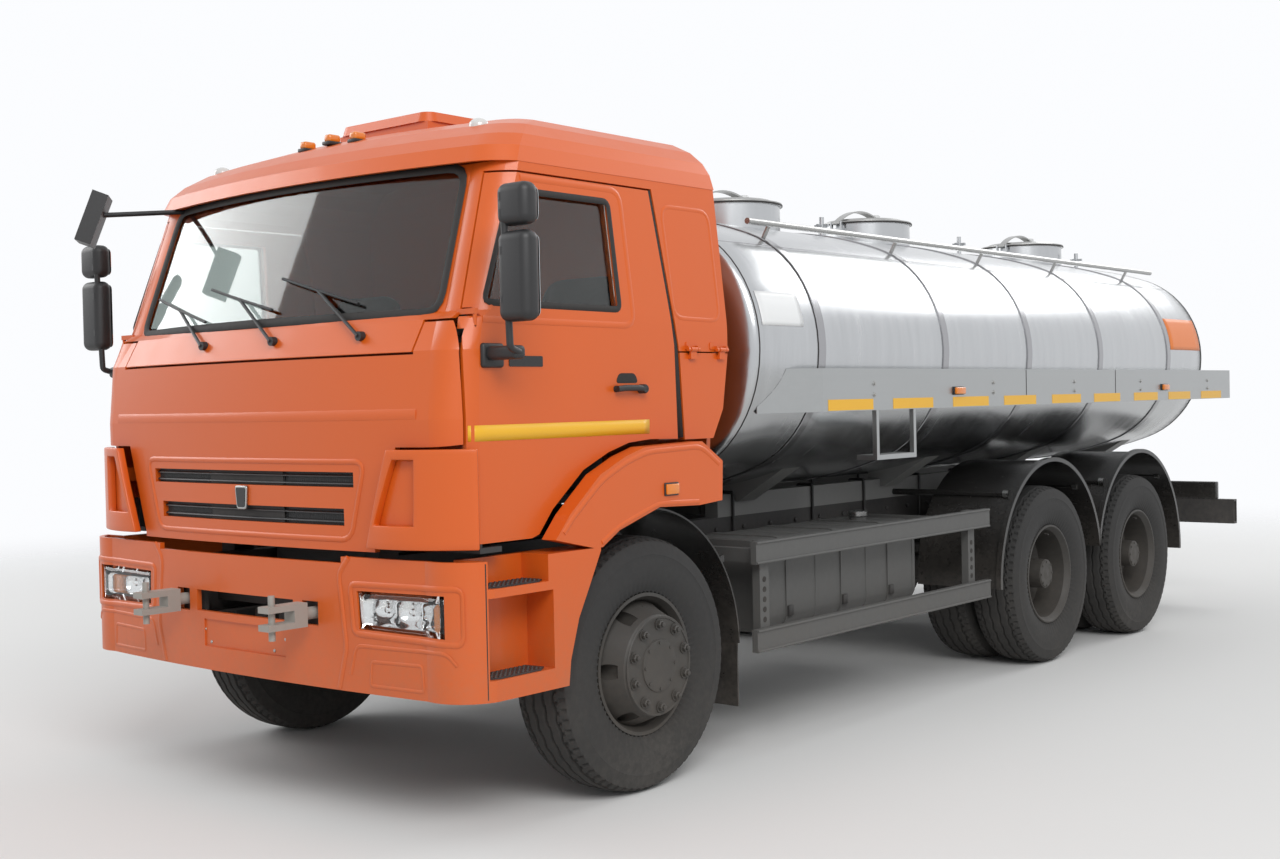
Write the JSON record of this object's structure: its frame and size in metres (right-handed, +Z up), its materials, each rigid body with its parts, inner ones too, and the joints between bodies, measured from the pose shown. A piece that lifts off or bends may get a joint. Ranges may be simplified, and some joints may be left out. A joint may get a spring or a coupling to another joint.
{
  "type": "tanker truck",
  "caption": "Cab-over tanker truck with a long oval steel tank, side skirts, manhole lids, steered front wheels, twin rear wheels, opening doors and a front service panel.",
  "frame": {"origin": "on the ground, midway between the wheels' outer faces and midway between the tow forks' tips and the rear bar's rear face", "axes": "+X to the vehicle's left, +Y towards its rear, +Z up; it faces -Y"},
  "size_m": [2.902, 8.16, 2.8453],
  "materials": {
    "cab_orange": "gloss",
    "chassis_black": "satin",
    "beam_grey": "satin",
    "rim_grey": "satin",
    "tank_steel": "polished",
    "tyre": "matte",
    "black_plastic": "matte",
    "glass": "gloss",
    "lamp_clear": "gloss",
    "amber": "gloss",
    "engine_iron": "matte",
    "seat_cloth": "matte"
  },
  "bodies": {
    "chassis": {"axles": "chassis_black", "frame": "chassis_black", "tank": "tank_steel", "tank_necks": "tank_steel", "handrails": "tank_steel", "tank_beams": "beam_grey", "skirts": "tank_steel", "cab_front": "cab_orange", "cab_sides": "cab_orange", "cab_rear_wall": "cab_orange", "cab_floor": "chassis_black", "cab_roof": "cab_orange", "windscreen": "glass", "deflectors": "cab_orange", "bumper": "cab_orange", "headlamps": "lamp_clear", "tow_forks": "beam_grey", "wings": "cab_orange", "mudguards": "black_plastic", "springs": "chassis_black", "powertrain": "engine_iron", "fuel_tank": "chassis_black", "battery_box": "chassis_black", "side_guards": "beam_grey", "rear_bar": "chassis_black", "marker_lamps": "amber", "front_mirror": "black_plastic", "wipers": "black_plastic", "seats": "seat_cloth", "dashboard": "black_plastic"},
    "knuckle_left": {"knuckle_left": "chassis_black"},
    "knuckle_right": {"knuckle_right": "chassis_black"},
    "wheel_front_left": {"tyre_front_left": "tyre", "rim_front_left": "rim_grey"},
    "wheel_front_right": {"tyre_front_right": "tyre", "rim_front_right": "rim_grey"},
    "wheels_mid_left": {"tyres_mid_left": "tyre", "rims_mid_left": "rim_grey"},
    "wheels_mid_right": {"tyres_mid_right": "tyre", "rims_mid_right": "rim_grey"},
    "wheels_rear_left": {"tyres_rear_left": "tyre", "rims_rear_left": "rim_grey"},
    "wheels_rear_right": {"tyres_rear_right": "tyre", "rims_rear_right": "rim_grey"},
    "door_left": {"door_left": "cab_orange", "door_glass_left": "glass", "door_fittings_left": "black_plastic"},
    "door_right": {"door_right": "cab_orange", "door_glass_right": "glass", "door_fittings_right": "black_plastic"},
    "front_panel": {"front_panel": "cab_orange", "grille": "black_plastic"},
    "lid_front": {"lid_front": "tank_steel"},
    "lid_middle": {"lid_middle": "tank_steel"},
    "lid_rear": {"lid_rear": "tank_steel"},
    "flap_left": {"flap_left": "cab_orange"},
    "flap_right": {"flap_right": "cab_orange"},
    "roof_hatch": {"roof_hatch": "cab_orange"},
    "steering_wheel": {"steering_wheel": "black_plastic"}
  },
  "joints": [
    {"name": "steer_left", "type": "hinge", "parent": "chassis", "child": "knuckle_left", "pos_m": [0.86, -2.76, 0.52], "axis": [0, 0, 1], "range_deg": [-38, 38]},
    {"name": "steer_right", "type": "hinge", "parent": "chassis", "child": "knuckle_right", "pos_m": [-0.86, -2.76, 0.52], "axis": [0, 0, 1], "range_deg": [-38, 38]},
    {"name": "roll_front_left", "type": "hinge", "parent": "knuckle_left", "child": "wheel_front_left", "pos_m": [1.05, -2.76, 0.52], "axis": [1, 0, 0], "continuous": true},
    {"name": "roll_front_right", "type": "hinge", "parent": "knuckle_right", "child": "wheel_front_right", "pos_m": [-1.05, -2.76, 0.52], "axis": [1, 0, 0], "continuous": true},
    {"name": "roll_mid_left", "type": "hinge", "parent": "chassis", "child": "wheels_mid_left", "pos_m": [0.93, 0.93, 0.52], "axis": [1, 0, 0], "continuous": true},
    {"name": "roll_mid_right", "type": "hinge", "parent": "chassis", "child": "wheels_mid_right", "pos_m": [-0.93, 0.93, 0.52], "axis": [1, 0, 0], "continuous": true},
    {"name": "roll_rear_left", "type": "hinge", "parent": "chassis", "child": "wheels_rear_left", "pos_m": [0.93, 2.25, 0.52], "axis": [1, 0, 0], "continuous": true},
    {"name": "roll_rear_right", "type": "hinge", "parent": "chassis", "child": "wheels_rear_right", "pos_m": [-0.93, 2.25, 0.52], "axis": [1, 0, 0], "continuous": true},
    {"name": "door_left_hinge", "type": "hinge", "parent": "chassis", "child": "door_left", "pos_m": [1.15, -3.66, 1.6], "axis": [0, 0, -1], "range_deg": [0, 70]},
    {"name": "door_right_hinge", "type": "hinge", "parent": "chassis", "child": "door_right", "pos_m": [-1.15, -3.66, 1.6], "axis": [0, 0, 1], "range_deg": [0, 70]},
    {"name": "front_panel_hinge", "type": "hinge", "parent": "chassis", "child": "front_panel", "pos_m": [0, -3.812, 1.9], "axis": [-1, 0, 0], "range_deg": [0, 65]},
    {"name": "lid_front_hinge", "type": "hinge", "parent": "chassis", "child": "lid_front", "pos_m": [0, -0.868, 2.668], "axis": [1, 0, 0], "range_deg": [0, 100]},
    {"name": "lid_middle_hinge", "type": "hinge", "parent": "chassis", "child": "lid_middle", "pos_m": [0, 0.572, 2.668], "axis": [1, 0, 0], "range_deg": [0, 100]},
    {"name": "lid_rear_hinge", "type": "hinge", "parent": "chassis", "child": "lid_rear", "pos_m": [0, 2.802, 2.668], "axis": [1, 0, 0], "range_deg": [0, 100]},
    {"name": "flap_left_hinge", "type": "hinge", "parent": "chassis", "child": "flap_left", "pos_m": [1.184, -2.32, 1.804], "axis": [0, -1, 0], "range_deg": [0, 90]},
    {"name": "flap_right_hinge", "type": "hinge", "parent": "chassis", "child": "flap_right", "pos_m": [-1.184, -2.32, 1.804], "axis": [0, 1, 0], "range_deg": [0, 90]},
    {"name": "roof_hatch_hinge", "type": "hinge", "parent": "chassis", "child": "roof_hatch", "pos_m": [0, -3.096, 2.803], "axis": [1, 0, 0], "range_deg": [0, 25]},
    {"name": "steering_wheel_turn", "type": "hinge", "parent": "chassis", "child": "steering_wheel", "pos_m": [0.64, -3.2, 1.8], "axis": [0, 0.6222, 0.7828], "range_deg": [-684, 684]}
  ],
  "couplings": [
    {"joint": "steer_right", "follows": "steer_left", "ratio": 1},
    {"joint": "steering_wheel_turn", "follows": "steer_left", "ratio": 18}
  ]
}
